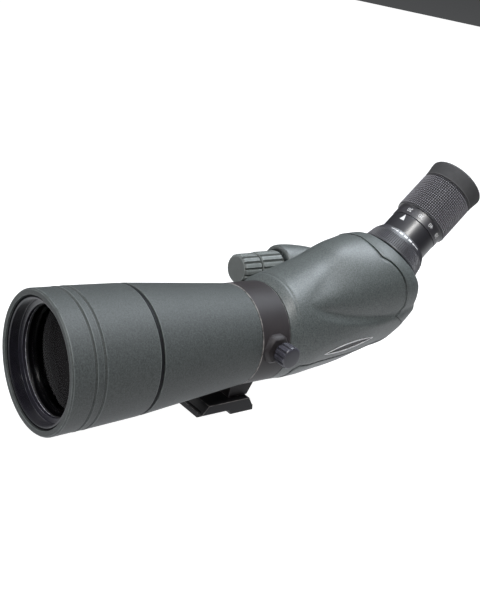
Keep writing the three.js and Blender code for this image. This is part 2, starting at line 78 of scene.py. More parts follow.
class Wire:
    """An output of a material's node. Sums of wires and numbers add the Math nodes that they need."""

    def __init__(self, tree, socket=None):
        self.tree, self.socket = tree, socket

    def node(self, kind, settings, inputs, output=0):
        made = self.tree.nodes.new("ShaderNode" + kind)
        for key, value in settings.items():
            if key == "stops":
                ramp = made.color_ramp
                while len(ramp.elements) < len(value):
                    ramp.elements.new(0.5)
                for stop, (place, shade) in zip(ramp.elements, value):
                    stop.position, stop.color = place, (*shade, 1)
            else:
                setattr(made, key, value)
        for key, value in inputs.items():
            if isinstance(value, Wire):
                self.tree.links.new(value.socket, made.inputs[key])
            else:
                made.inputs[key].default_value = value
        return Wire(self.tree, made.outputs[output])

    def maths(self, operation, first, second):
        return self.node("Math", {"operation": operation}, {0: first, 1: second})

    def __add__(self, other):
        return self.maths("ADD", self, other)

    def __radd__(self, other):
        return self.maths("ADD", other, self)

    def __sub__(self, other):
        return self.maths("SUBTRACT", self, other)

    def __rsub__(self, other):
        return self.maths("SUBTRACT", other, self)

    def __mul__(self, other):
        return self.maths("MULTIPLY", self, other)

    def __rmul__(self, other):
        return self.maths("MULTIPLY", other, self)

    def noise(self, place, scale, detail=2.0, roughness=0.5):
        return self.node("TexNoise", {}, {"Vector": place, "Scale": scale, "Detail": detail,
                                          "Roughness": roughness}, "Fac")

    def between(self, low, high):
        """0 below low, 1 above high, and straight in between."""
        return self.node("MapRange", {"clamp": True}, {"Value": self, "From Min": low, "From Max": high})

    def mix(self, share, first, second):
        """The first colour at share 0, the second at share 1."""
        first, second = (c if isinstance(c, Wire) else (*c, 1) for c in (first, second))
        return self.node("Mix", {"data_type": "RGBA"}, {0: share, 6: first, 7: second}, 2)

    def bump(self, height, strength, distance):
        return self.node("Bump", {}, {"Strength": strength, "Distance": distance * MM, "Height": height},
            "Normal")

    def finish(self, shader):
        self.tree.links.new(shader.socket,
            self.tree.nodes.new("ShaderNodeOutputMaterial").inputs["Surface"])


MM = 0.001
CORNER = math.radians(14)    # a bend in an outline that is sharper than this gets eased
SHARP = math.radians(38)     # an edge of a finished piece that is sharper than this is shaded sharp


def blank(name):
    """An empty material, a wire to build it with, and the place on the piece."""
    material = bpy.data.materials.new(name)
    material.use_nodes = True
    material.node_tree.nodes.clear()
    wire = Wire(material.node_tree)
    return material, wire, wire.node("TexCoord", {}, {}, "Object")


def table_top():
    material, wire, place = blank("white_table")
    shade = wire.noise(place, 3.0)
    wire.finish(wire.node("BsdfPrincipled", {}, {
        "Base Color": wire.mix(shade, (0.24, 0.24, 0.24), (0.28, 0.28, 0.28)), "Roughness": 0.7,
        "Specular IOR Level": 0.1, "Emission Color": (1, 1, 1, 1), "Emission Strength": 0.99}, "BSDF"))
    return material


floor_mesh = bpy.data.meshes.new("table")
floor_mesh.from_pydata([(-40, -40, 0), (40, -40, 0), (40, 40, 0), (-40, 40, 0)], [], [(0, 1, 2, 3)])
floor_mesh.materials.append(table_top())
table = bpy.data.objects.new("table", floor_mesh)
scene.collection.objects.link(table)
# The room's own glow stands for the light that the table throws back, so it stays even under the scope.
table.visible_diffuse = table.visible_glossy = table.visible_transmission = False

world = bpy.data.worlds.new("room")
world.use_nodes = True
world.node_tree.nodes.clear()
sky = Wire(world.node_tree)
bearing = sky.node("TexCoord", {}, {}, "Generated")
climb = sky.node("SeparateXYZ", {}, {0: bearing}, "Z") * 0.5 + 0.5
GLOW = [(0.0, 1.0), (0.20, 1.0), (0.33, 0.60), (0.41, 0.12), (0.54, 0.04), (0.74, 0.10), (0.9, 0.22),
    (1.0, 0.31)]
glow = sky.node("ValToRGB", {"stops": [(at, (0.95 * g, 0.97 * g, g)) for at, g in GLOW]}, {0: climb})
sky.tree.links.new(sky.node("Background", {}, {"Color": glow, "Strength": 1.15}).socket,
                   sky.tree.nodes.new("ShaderNodeOutputWorld").inputs["Surface"])
scene.world = world


def softbox(name, place, aim, size, power, colour=(1, 1, 1)):
    lamp = bpy.data.lights.new(name, "AREA")
    lamp.shape, lamp.size, lamp.size_y, lamp.energy, lamp.color = "RECTANGLE", *size, power, colour
    holder = bpy.data.objects.new(name, lamp)
    holder.location = place
    holder.rotation_euler = (Vector(place) - Vector(aim)).to_track_quat("Z", "Y").to_euler()
    scene.collection.objects.link(holder)


softbox("overhead", (0.05, 0.65, 1.45), (0, 0.05, 0.08), (0.9, 1.0), 26, (0.86, 0.93, 1.0))
softbox("key", (0.98, -0.75, 1.6), (0, 0.05, 0.08), (0.36, 0.36), 22, (1.0, 0.99, 0.97))
softbox("fill", (-1.4, -1.3, 0.8), (0, 0, 0.05), (0.7, 0.7), 9, (1.0, 1.0, 1.0))
softbox("front", (0.1, -1.5, 1.5), (0, 0, 0.08), (0.4, 0.4), 9, (0.88, 0.92, 1.0))

# ---- main barrel ----
# Aluminium tube, tapering back to the collar and sprayed with a thick, finely speckled grey-green coat. A
# sunken ring in front of the taper is where the sunshade's rear edge comes to rest.
low, high = (Vector(corner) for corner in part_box("sunshade"))
rim_centre = Vector((0, low.y, (low.z + high.z) / 2))
ALONG_BARREL = Matrix.Translation(rim_centre) @ Matrix.Scale(MM, 4)
GREEN = (0.070, 0.079, 0.077)


def speckled_coat(name, tone, roughness=0.56, grain=0.5):
    """Thick sprayed coat: fine light and dark specks, slow drifts of tone, and edges painted paler, partly as
    rubbed wear and partly as a painted highlight.
    """
    material, wire, place = blank(name)
    fine = wire.noise(place, 1100, 3.0, 0.65)
    drift = wire.noise(place, 22.0, 3.0)
    edge = wire.node("Attribute", {"attribute_name": "edge"}, {}, "Fac")
    rubbed_edge_and_highlight = edge * wire.noise(place, 160.0).between(0.25, 0.6)
    dark, light = tuple(0.45 * c for c in tone), tuple(1.6 * c for c in tone)
    colour = wire.mix(fine.between(0.3, 0.7), dark, light)
    colour = wire.mix(drift.between(0.3, 0.7) * 0.22, colour, tuple(0.7 * c for c in tone))
    # Eased edges go paler: partly rubbed wear, partly a painted highlight along the corners.
    colour = wire.mix(rubbed_edge_and_highlight * 0.75, colour, tuple(3.0 * c for c in tone))
    wire.finish(wire.node("BsdfPrincipled", {}, {
        "Base Color": colour, "Roughness": roughness - 0.08 * rubbed_edge_and_highlight + 0.12 * fine,
        "Specular IOR Level": 0.7, "Normal": wire.bump(fine, grain, 0.2)}, "BSDF"))
    return material


def eased(outline, radius, steps=3):
    """Rounds a closed outline's corners. Each point comes back as (across, along, rib share, edge mark)."""
    corners = [Vector(point[:2]) for point in outline]
    area = sum(a.cross(b) for a, b in zip(corners, corners[1:] + corners[:1]))
    points = []
    for i, (corner, point) in enumerate(zip(corners, outline)):
        share = point[2] if len(point) > 2 else 0
        into, out = corner - corners[i - 1], corners[(i + 1) % len(corners)] - corner
        bend = into.angle_signed(out, 0.0) * (-1 if area > 0 else 1)
        if abs(bend) < CORNER or corner.x < 1e-6:
            points.append((*corner, share, 0.0))
            continue
        start = corner - into.normalized() * min(radius, 0.45 * into.length)
        end = corner + out.normalized() * min(radius, 0.45 * out.length)
        for k in range(steps + 1):
            f = k / steps
            at = (1 - f) ** 2 * start + 2 * f * (1 - f) * corner + f * f * end
            points.append((*at, share, 1.0 if bend > 0 and 0 < k < steps else 0.0))
    return points


def finished_mesh(name, build, place):
    """Turns a bmesh into a mesh in metres, with normals out and only its real corners sharp."""
    bmesh.ops.transform(build, matrix=place, verts=build.verts)
    bmesh.ops.recalc_face_normals(build, faces=build.faces)
    for face in build.faces:
        face.smooth = True
    for line in build.edges:
        line.smooth = len(line.link_faces) == 2 and line.calc_face_angle(0) < SHARP
    mesh = bpy.data.meshes.new(name)
    build.to_mesh(mesh)
    build.free()
    return mesh


def turned(name, outline, place, ease=0.3, sides=160, ribs=0, depth=0.0, rib=None):
    """A body turned about Y from a closed outline of (radius, station, rib share) corners. Ribs are cut along
    the rim: at f of the way to the next, rib(f) gives the cut's share of the depth and the crest's paling,
    partly wear and partly a painted highlight."""
    build = bmesh.new()
    mark = build.verts.layers.float.new("edge")
    rings = []
    for r, station, share, edge in eased(outline, ease):
        ring = []
        for j in range(sides):
            cut, wear_and_highlight = rib((j * ribs / sides) % 1.0) if share else (0.0, 0.0)
            at = r - share * cut * depth
            angle = 2 * math.pi * j / sides
            spot = build.verts.new((at * math.sin(angle), station, at * math.cos(angle)))
            spot[mark] = max(edge * (1 - cut), wear_and_highlight * share)
            ring.append(spot)
        rings.append(ring)
    for ring, after in zip(rings, rings[1:] + rings[:1]):
        for j in range(sides):
            build.faces.new((ring[j - 1], ring[j], after[j], after[j - 1]))
    bmesh.ops.remove_doubles(build, verts=build.verts, dist=1e-4)
    return finished_mesh(name, build, place)


def fit(name, mesh, finish, body, slot, *nodes):
    """Puts a finished piece on its body, in place of the frame's plain nodes."""
    piece = bpy.data.objects.new(name, mesh)
    mesh.materials.clear()
    mesh.materials.append(finish)
    scene.collection.objects.link(piece)
    piece.modifiers.new("flat faces stay flat", "WEIGHTED_NORMAL").keep_sharp = True
    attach(piece, body)
    if nodes:
        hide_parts(*nodes)
    return piece


green_coat = speckled_coat("green_coat", tuple(0.66 * c for c in GREEN))
BARREL_FRONT, BARREL_R, BARREL_END, BARREL_END_R, BARREL_REAR = 62.0, 40.25, 140.0, 33.9, 177.0
fit("barrel_tube", turned("barrel_tube", [
    (37.45, 58.4), (39.0, 58.4), (39.0, 60.4), (BARREL_R, 60.4), (BARREL_END_R, BARREL_END),
    (30.6, BARREL_END), (30.6, 164.4), (29.6, 164.4), (29.6, BARREL_REAR), (27.6, BARREL_REAR), (27.6, 144),
    (31.4, 130), (36.0, 72), (36.0, 68), (37.45, 68)], ALONG_BARREL, ease=0.5), green_coat, "scope",
    "green_coat_metal", "main_barrel")

# ---- objective ----
# A black aluminium cell holds two lenses under a screwed ring. Its bore is cut with a fine thread that
# kills stray light, and the ring's smooth bevel has two slots for the spanner that tightens it.


def anodised(name, tone, roughness, marks=0.12, shine=1.9, tilt=0):
    """Satin black anodised aluminium with paler edges, partly rubbed wear and partly a painted highlight, and
    faint lathe marks that run round its axis, which is tilted up from the barrel's by an angle."""
    material, wire, place = blank(name)
    turning = wire.node("Mapping", {"vector_type": "TEXTURE"}, {
        "Vector": place, "Rotation": (math.radians(tilt), 0, 0), "Scale": (20.0, 1.0, 20.0)})
    streaks = wire.noise(turning, 5200.0, 2.0)
    smudge = wire.noise(place, 45.0, 1.0, 0.4)
    edge = wire.node("Attribute", {"attribute_name": "edge"}, {}, "Fac")
    worn_edge_and_highlight = edge * wire.noise(place, 260.0).between(0.3, 0.62)
    colour = wire.mix(smudge.between(0.3, 0.75), tone, tuple(1.5 * c for c in tone))
    # Edges painted paler: partly rubbed wear, partly a painted highlight.
    colour = wire.mix(worn_edge_and_highlight * 0.55, colour, tuple(6.0 * c for c in tone))
    wire.finish(wire.node("BsdfPrincipled", {}, {
        "Base Color": colour, "Roughness": roughness + 0.05 * smudge - 0.04 * worn_edge_and_highlight, "IOR": shine,
        "Specular IOR Level": 0.7, "Normal": wire.bump(streaks, marks, 0.006)}, "BSDF"))
    return material


def coated_glass(name, tint=(0.010, 0.002, 0.004)):
    """Coated lens over a dark bore: most light passes, a little dimmed, and what bounces off is tinted."""
    material, wire, place = blank(name)
    cloud = wire.noise(place, 30.0)
    facing = wire.node("LayerWeight", {}, {"Blend": 0.35}, "Facing")
    bounce = wire.mix(facing, tint, (0.002, 0.010, 0.009))
    clear = wire.node("BsdfTransparent", {}, {"Color": (0.82, 0.82, 0.82, 1)})
    sheen = wire.node("BsdfPrincipled", {}, {
        "Base Color": bounce, "Metallic": 1.0, "Roughness": 0.04 + 0.04 * cloud,
        "Specular IOR Level": 0.0}, "BSDF")
    share = 0.22 + 0.2 * facing
    wire.finish(wire.node("MixShader", {}, {0: share, 1: clear, 2: sheen}))
    return material


def thread(count, first, last, root, crest):
    """Outline points of a fine saw-tooth thread in a bore."""
    pitch = (last - first) / count
    return [point for k in range(count) for point in ((crest, first + pitch * k),
        (root, first + pitch * (k + 0.55)))]


cell_black = anodised("cell_black", (0.008, 0.0075, 0.011), 0.30, 0.12, 1.5)
CELL_FRONT, BEVEL = 1.6, 7.6
fit("objective_cell_turned", turned("objective_cell_turned", [
    (36.9, CELL_FRONT), (37.3, 2.0), (37.3, 68), (33.6, 68), (33.6, 30), (32.6, 28), (32.6, 24.6),
    (34.1, 24.6), (34.1, 11), (35.4, 11), (35.4, BEVEL),
    *reversed(thread(9, CELL_FRONT + 0.3, BEVEL - 0.2, 36.3, 35.7)),
    (36.4, CELL_FRONT)], ALONG_BARREL, ease=0.12), cell_black, "scope", "matt_black", "objective_cell")


def plate(name, outline, from_x, to_x, place, ease=0.5, steps=2):
    """A plate cut to an outline of (station, height) corners, from side to side, with eased edges."""
    build = bmesh.new()
    mark = build.verts.layers.float.new("edge")
    faces = [[build.verts.new((x, y, z)) for y, z in outline] for x in (from_x, to_x)]
    build.faces.new(faces[0])
    build.faces.new(reversed(faces[1]))
    for i in range(len(outline)):
        build.faces.new((faces[0][i - 1], faces[0][i], faces[1][i], faces[1][i - 1]))
    bmesh.ops.recalc_face_normals(build, faces=build.faces)
    if ease:
        corners = [e for e in build.edges if e.calc_face_angle(0) > CORNER]
        made = bmesh.ops.bevel(build, geom=corners, offset=ease, segments=steps, affect="EDGES",
                               profile=0.5, clamp_overlap=True)
        rounded = set(made["faces"])
        for spot in {v for face in rounded for v in face.verts}:
            spot[mark] = 1.0 if rounded.issuperset(spot.link_faces) else 0.0
    return finished_mesh(name, build, place)


def worked(name, start, *cuts):
    """The mesh left after joining, cutting or keeping with others: cuts are (operation, mesh) pairs."""
    piece = bpy.data.objects.new(name, start)
    scene.collection.objects.link(piece)
    tools = []
    for operation, mesh in cuts:
        tool = bpy.data.objects.new("tool", mesh)
        scene.collection.objects.link(tool)
        step = piece.modifiers.new("step", "BOOLEAN")
        step.operation, step.solver, step.object = operation, "MANIFOLD", tool
        tools.append(tool)
    bpy.context.view_layer.update()
    result = bpy.data.meshes.new_from_object(piece.evaluated_get(bpy.context.evaluated_depsgraph_get()))
    for spare in (piece, *tools):
        bpy.data.objects.remove(spare)
    build = bmesh.new()
    build.from_mesh(result)
    bmesh.ops.dissolve_degenerate(build, dist=1e-6, edges=build.edges)
    return finished_mesh(name, build, Matrix())


ring_black = anodised("ring_black", (0.016, 0.015, 0.021), 0.24, 0.12, 1.6)
across_slots = ALONG_BARREL @ Matrix.Rotation(math.radians(-17), 4, "Y")
slot = [(7, -0.5), (9.4, -0.5), (9.4, 0.5), (7, 0.5)]
slots = [("DIFFERENCE", plate("slot", slot, *ends, across_slots, 0))
         for ends in ((-36.2, -34.1), (34.1, 36.2))]
fit("retaining_ring_turned", worked("retaining_ring_turned", turned("ring", [
    (35.3, BEVEL), (35.3, 9.6), (32.5, 10.5), (32.5, 8.5)], ALONG_BARREL, ease=0.15), *slots), ring_black,
    "scope", "black_anodised", "objective_retaining_ring")

# The spacers between and behind the lenses show as thin rims through the glass, painted pale grey as a
# painted reflection of the light rings seen there.
rim_painted_reflection = anodised("rim_painted_reflection", (0.20, 0.20, 0.22), 0.22)
for number, (station, r) in enumerate(((10.6, 32.6), (17.5, 32.8), (25.2, 32.3), (29.0, 32.2))):
    fit(f"lens_seat_rim_{number + 1}", turned("rim", [
        (r, station), (r + 0.22, station - 0.12), (r + 0.3, station + 0.25), (r + 0.05, station + 0.3)],
        ALONG_BARREL, ease=0), rim_painted_reflection, "scope", "black_anodised")


def domed(radius, front, back, front_bulge, back_bulge, steps=14):
    """Outline of a lens: flat edge, and a dome or dish of the given height on each face."""
    rows = [k / steps for k in range(steps + 1)]
    face = [(radius * f, front - front_bulge * (1 - f * f)) for f in rows]
    return face + [(radius * f, back + back_bulge * (1 - f * f)) for f in reversed(rows)]


lens_glass = coated_glass("lens_glass")
fit("objective_front_glass", turned("objective_front_glass", domed(34.0, 13.2, 16.6, 2.4, 1.4),
    ALONG_BARREL, ease=0.05, sides=120), lens_glass, "scope", "glass", "objective_front_lens")
fit("objective_rear_glass", turned("objective_rear_glass", domed(34.0, 18.4, 24.4, -1.2, -0.6),
    ALONG_BARREL, ease=0.05, sides=120), lens_glass, "scope", "glass", "objective_rear_lens")

# ---- sunshade ----
# A sleeve that slides forward over the objective, coated like the barrel. Its rim is broad and rounded, two
# grip grooves run round it, and its bore has a thin black lining that rubs on the cell.
GROOVES = (14.6, 20.6)
groove = [(r, y) for at in GROOVES for r, y in (
    (41.85 - 0.012 * at, at - 1.0), (40.7, at - 0.7), (40.7, at + 0.1), (42.05 - 0.012 * at, at + 0.9),
    (41.88 - 0.012 * at, at + 1.7))]
fit("sunshade_sleeve", turned("sunshade_sleeve", [
    (38.2, 0.15), (38.9, 0), (41.2, 0), (42.0, 1.1), *groove, (40.4, 57.2), (40.0, 57.8), (38.1, 57.8)],
    ALONG_BARREL, ease=0.35), green_coat, "sunshade_body", "green_coat_metal", "sunshade")


def lamp_black(name):
    """Dead-flat black that kills stray light, faintly mottled."""
    material, wire, place = blank(name)
    mottle = wire.noise(place, 400.0, 3.0, 0.7)
    wire.finish(wire.node("BsdfPrincipled", {}, {
        "Base Color": wire.mix(mottle, (0.004, 0.004, 0.005), (0.010, 0.010, 0.012)),
        "Roughness": 0.5 + 0.2 * mottle, "Specular IOR Level": 0.2,
        "Normal": wire.bump(mottle, 0.06, 0.02)}, "BSDF"))
    return material


flat_black = lamp_black("flat_black")
# A flat black band laid in the barrel's sunken ring at the sunshade's rear edge: a dark sheet painted in as
# the shade in the seam's gap.
fit("seam_painted_shade_ring", turned("seam_painted_shade_ring",
    [(39.05, 58.5), (39.35, 58.5), (39.35, 60.3), (39.05, 60.3)],
    ALONG_BARREL, ease=0.08), flat_black, "scope", "matt_black")
fit("barrel_lining", turned("barrel_lining", [
    (35.95, 72.5), (31.35, 130), (27.55, 144), (27.55, 176.5), (27.4, 176.5), (27.4, 144), (31.2, 130),
    (35.8, 72.5)], ALONG_BARREL, ease=0), flat_black, "scope", "matt_black")
fit("sunshade_lining", turned("sunshade_lining", [(37.6, 1.4), (38.0, 1.4), (38.0, 56.3), (37.6, 56.3)],
    ALONG_BARREL, ease=0.1), flat_black, "sunshade_body", "matt_black", "sunshade_liner")

# ---- collar, tripod foot and clamp ----
# The collar is a cast ring in satin black, with a thick boss for the clamp screw on one side and a neck
# down to the foot. The foot is a machined dovetail block held on by two screws from below.


def satin_black(name, tone, roughness, shine=1.5):
    """Satin black lacquer over a casting: a little orange peel, smudges, and edges painted bright, partly as
    rubbed wear and partly as a painted highlight.
    """
    material, wire, place = blank(name)
    peel = wire.noise(place, 700.0, 2.0)
    smudge = wire.noise(place, 38.0, 4.0, 0.6)
    edge = wire.node("Attribute", {"attribute_name": "edge"}, {}, "Fac")
    rubbed_edge_and_highlight = edge * wire.noise(place, 220.0).between(0.3, 0.6)
    colour = wire.mix(smudge.between(0.3, 0.7), tone, tuple(1.45 * c for c in tone))
    # Edges painted near white: partly rubbed wear, partly a painted highlight of the light along the edges.
    colour = wire.mix(rubbed_edge_and_highlight * 0.9, colour, (0.34, 0.32, 0.31))
    wire.finish(wire.node("BsdfPrincipled", {}, {
        "Base Color": colour, "Roughness": roughness + 0.16 * smudge - 0.1 * rubbed_edge_and_highlight, "IOR": shine,
        "Specular IOR Level": 0.4, "Normal": wire.bump(peel, 0.12, 0.03)}, "BSDF"))
    return material


def across_barrel(station, height):
    """Places a piece turned about Y so that it lies across the barrel, with its far end on the +X side."""
    return ALONG_BARREL @ Matrix.Translation((0, station, height)) @ Matrix.Rotation(-math.pi / 2, 4, "Z")


def below_barrel(side, station, height):
    """Places a piece turned about Y so that it stands up under the barrel, with station 0 lowest."""
    return ALONG_BARREL @ Matrix.Translation((side, station, height)) @ Matrix.Rotation(math.pi / 2, 4, "X")


COLLAR_FRONT, COLLAR_REAR, COLLAR_R, BORE_R = 140.4, 164.2, 34.0, 30.75
CLAMP_Y, CLAMP_Z, FOOT_Y, FOOT_TOP, FOOT_UNDER, PAD = 152.3, 3.7, 150.0, -42.5, -49.4, -52.7
collar_black = satin_black("collar_black", (0.024, 0.0205, 0.0215), 0.42, 1.4)
BOSS_Y, BOSS_CORNER = 151.4, 10.9
boss = [(BOSS_Y + BOSS_CORNER * math.cos(a), CLAMP_Z + BOSS_CORNER * math.sin(a))
        for a in (k * math.pi / 3 for k in range(6))]
neck = [(COLLAR_FRONT + 0.4, -28), (COLLAR_REAR - 0.4, -28), (161, -33.6), (157.2, FOOT_TOP),
        (COLLAR_FRONT + 0.4, FOOT_TOP)]
ring = [(BORE_R, COLLAR_FRONT), (COLLAR_R, COLLAR_FRONT), (COLLAR_R, COLLAR_REAR), (BORE_R, COLLAR_REAR)]
barrel_room = ("DIFFERENCE", turned("room", [(0, 130), (32, 130), (32, 175), (0, 175)], ALONG_BARREL, 0))
SCREW_X = (-7, 7)
on_clamp = across_barrel(CLAMP_Y, CLAMP_Z)
fit("collar_casting", worked("collar_casting", turned("ring", ring, ALONG_BARREL, ease=0.7),
    ("UNION", worked("boss", plate("boss", boss, 24, 36.6, ALONG_BARREL, 1.9, 1), barrel_room)),
    ("UNION", worked("neck", plate("neck", neck, -11.5, 11.5, ALONG_BARREL, 0.8), barrel_room)),
    ("DIFFERENCE", turned("clamp_bore", [(0, 25), (3.15, 25), (3.15, 45), (0, 45)], on_clamp, 0, 48)),
    *(("DIFFERENCE", turned("screw_hole", [(0, -60), (2.1, -60), (2.1, -33), (0, -33)],
                            below_barrel(x, FOOT_Y, 0), 0, 32)) for x in SCREW_X)),
    collar_black, "collar_foot", "black_satin", "collar")

# The foot's black is toned darker than the collar's: its own black, deepened as painted shade for the recess
# between foot and collar.
foot_black_and_shade = satin_black("foot_black_and_shade", (0.010, 0.0095, 0.011), 0.5)
dovetail = [(116.4, FOOT_UNDER), (160.8, FOOT_UNDER), (156.2, FOOT_TOP), (121.4, FOOT_TOP)]
rear_pad = [(139.4, FOOT_UNDER + 1), (141.4, PAD), (161.4, PAD), (160.6, FOOT_UNDER + 1)]
lip = [(116.4, FOOT_UNDER + 0.7), (116.4, PAD), (120.8, PAD), (120.8, FOOT_UNDER + 0.7)]
on_bush = below_barrel(0, 129.5, FOOT_UNDER)
fit("foot_block", worked("foot_block", plate("dovetail", dovetail, -16, 16, ALONG_BARREL, 0.6),
    ("DIFFERENCE", plate("front_channel", [(113, -48.3), (118.9, -48.3), (121.9, -44.2), (113, -44.2)],
                         -13.4, 13.4, ALONG_BARREL, 0)),
    ("UNION", plate("rear_pad", rear_pad, -16, 16, ALONG_BARREL, 0.45)),
    ("UNION", plate("lip", lip, -11.5, 11.5, ALONG_BARREL, 0.4)),
    ("UNION", turned("bush_boss", [(0, -3.3), (7, -3.3), (7, 3.5), (0, 3.5)], on_bush, 0.4, 64)),
    ("DIFFERENCE", turned("bush_hole", [(0, -9), (4.6, -9), (4.6, 5.2), (0, 5.2)], on_bush, 0, 64)),
    *(("DIFFERENCE", turned("counterbore", [(0, -9), (3.7, -9), (3.7, 4.4), (2.2, 4.4), (2.2, 20), (0, 20)],
                            below_barrel(x, FOOT_Y, PAD), 0, 48)) for x in SCREW_X)),
    foot_black_and_shade, "collar_foot", "black_satin", "tripod_foot")


def bare_metal(name, tone, roughness=0.28):
    """Turned bare metal: fine tool marks, a little tarnish, and handling smudges."""
    material, wire, place = blank(name)
    marks = wire.noise(wire.node("Mapping", {}, {"Vector": place, "Scale": (0.2, 0.2, 2.0)}), 3600.0)
    tarnish = wire.noise(place, 120.0, 4.0, 0.65)
    wire.finish(wire.node("BsdfPrincipled", {}, {
        "Base Color": wire.mix(tarnish.between(0.35, 0.8), tone, tuple(0.55 * c for c in tone)),
        "Roughness": roughness + 0.25 * tarnish, "Metallic": 1.0, "Normal": wire.bump(marks, 0.2, 0.02)},
        "BSDF"))
    return material


steel = bare_metal("steel", (0.55, 0.56, 0.57))
brass = bare_metal("brass", (0.62, 0.45, 0.20), 0.3)
BUSH_PITCH = 1.27
bush_thread = [(2.6 + half, -4.5 + BUSH_PITCH * (k + half)) for k in range(6) for half in (0, 0.5)]
fit("tripod_bush", turned("tripod_bush", [
    (4.5, -4.9), (4.5, 3.1), (2.7, 3.1), *reversed(bush_thread), (2.7, -4.9)],
    below_barrel(0, 129.5, PAD + 5.2), 0.1, 64), brass, "collar_foot", "brass", "thread_bush")
for x, node in zip(SCREW_X, ("foot_screw_right", "foot_screw_left")):
    on_screw = below_barrel(x, FOOT_Y, PAD + 0.9)
    fit(node + "_turned", worked("screw",
        turned("screw", [(0, 0), (3.4, 0), (3.4, 3.4), (2.0, 3.4), (2.0, 16), (0, 16)], on_screw, 0.25, 64),
        ("DIFFERENCE", turned("socket", [(0, -1), (1.7, -1), (1.7, 1.8), (0, 1.8)], on_screw, 0, 6))),
        steel, "collar_foot", "steel", node)

# The clamp knob is moulded round the clamp screw's head, with twelve grip flutes and a domed end face.


def moulded_black(name, tone, roughness=0.36):
    """Satin moulded plastic with a fine spark-eroded grain and edges painted paler, partly as finger polish
    and partly as a painted highlight.
    """
    material, wire, place = blank(name)
    grain = wire.noise(place, 2400.0, 2.0)
    smudge = wire.noise(place, 90.0, 3.0, 0.6)
    edge = wire.node("Attribute", {"attribute_name": "edge"}, {}, "Fac")
    worn_edge_and_highlight = edge * wire.noise(place, 420.0).between(0.28, 0.6)
    colour = wire.mix(smudge.between(0.3, 0.75), tone, tuple(1.6 * c for c in tone))
    # Edges painted paler: partly finger polish, partly a painted highlight.
    colour = wire.mix(worn_edge_and_highlight * 0.5, colour, tuple(5.0 * c for c in tone))
    wire.finish(wire.node("BsdfPrincipled", {}, {
        "Base Color": colour, "Roughness": roughness + 0.12 * smudge - 0.06 * worn_edge_and_highlight, "IOR": 1.7,
        "Normal": wire.bump(grain, 0.1, 0.01)}, "BSDF"))
    return material


def grip_flute(share):
    """Builds the section of a grip flute that takes up a share of each rib's pitch."""
    def cut(f):
        if f < 1 - share:
            return 0.0, 1.0 if min(f, 1 - share - f) < 0.13 else 0.25
        return max(0.0, math.sin(math.pi * (f - 1 + share) / share)) ** 0.6, 0.0
    return cut


knob_black = moulded_black("knob_black", (0.022, 0.021, 0.028))
fit("clamp_knob_moulded", worked("clamp_knob_moulded",
    turned("clamp_knob", [(0, 37.6), (5.2, 37.6), (5.2, 39.4), (6.7, 39.4), (7.5, 40.0, 1), (7.5, 47.7, 1),
                          (6.9, 48.5), (4.5, 48.85), (0, 49)],
           on_clamp, 0.5, 180, 12, 0.8, grip_flute(0.42)),
    ("DIFFERENCE", turned("screw_bore", [(0, 30), (3.1, 30), (3.1, 47.1), (0, 47.1)], on_clamp, 0, 48))),
    knob_black, "clamp_knob_body", "black_knob", "clamp_knob")
fit("clamp_screw_turned", turned("clamp_screw_turned", [
    (0, 33.3), (2.6, 33.3), *[(r, y) for k in range(8) for r, y in
                              ((2.62, 33.6 + 0.5 * k), (3.0, 33.85 + 0.5 * k))], (3.0, 47), (0, 47)],
    on_clamp, 0.05, 48), steel, "clamp_knob_body", "steel", "clamp_screw")

# ---- prism housing ----
# Two moulded polymer shells with the barrel's grey-green coat: the front shell takes the barrel and has a
# leaf in low relief on each side, and the rear frame closes the back and belly along a rolled seam.
NECK_END, SWING_Z, TILT, EYE_Y, SOCKET_T = 172.0, 134.5, 45.0, 239.4, 60.0
ALONG_EYE = ALONG_BARREL @ Matrix.Translation((0, EYE_Y, 0)) @ Matrix.Rotation(math.radians(TILT), 4, "X")


def swing(tilt, top, bottom, half, square):
    """A section round the bend: station, height, tilt, reach up and down, half width, squareness."""
    reach, angle = SWING_Z + 7.7 * tilt / TILT, math.radians(tilt)
    along, rise = NECK_END + reach * math.sin(angle), SWING_Z - reach * math.cos(angle)
    return along, rise, tilt, top, bottom, half, square


def up_the_eyepiece(t, top, bottom, half):
    run = t * math.cos(math.radians(TILT))
    return EYE_Y + run, run, TILT, top, bottom, half, 2


SECTIONS = np.array([
    (COLLAR_REAR + 0.4, 0, 0, 34, 34, 34, 2), (166.8, 0, 0, 35.8, 34, 34.3, 2.05),
    (169.2, 0, 0, 37.6, 34, 34.6, 2.1), (171.2, 0, 0, 38.4, 34, 34.8, 2.15),
    swing(3, 40.5, 33.9, 35, 2.15), swing(7, 43, 34, 35.1, 2.15), swing(12, 45.6, 34.8, 35.3, 2.15),
    swing(19.5, 48.1, 38.2, 35.6, 2.15), swing(25, 49.6, 41.7, 35.9, 2.15),
    swing(30.5, 50.6, 45.4, 36.2, 2.1), swing(36, 49.4, 48, 36.6, 2.05), swing(41, 46, 48.2, 36.8, 2),
    swing(45, 42, 45.8, 36.6, 2), up_the_eyepiece(51, 39.2, 42, 36.1),
    up_the_eyepiece(54, 36.6, 38.4, 35.3), up_the_eyepiece(57, 33.8, 35.2, 33.8),
    up_the_eyepiece(58.8, 32.2, 33, 32.5), up_the_eyepiece(SOCKET_T, 30.6, 30.8, 30.8)])
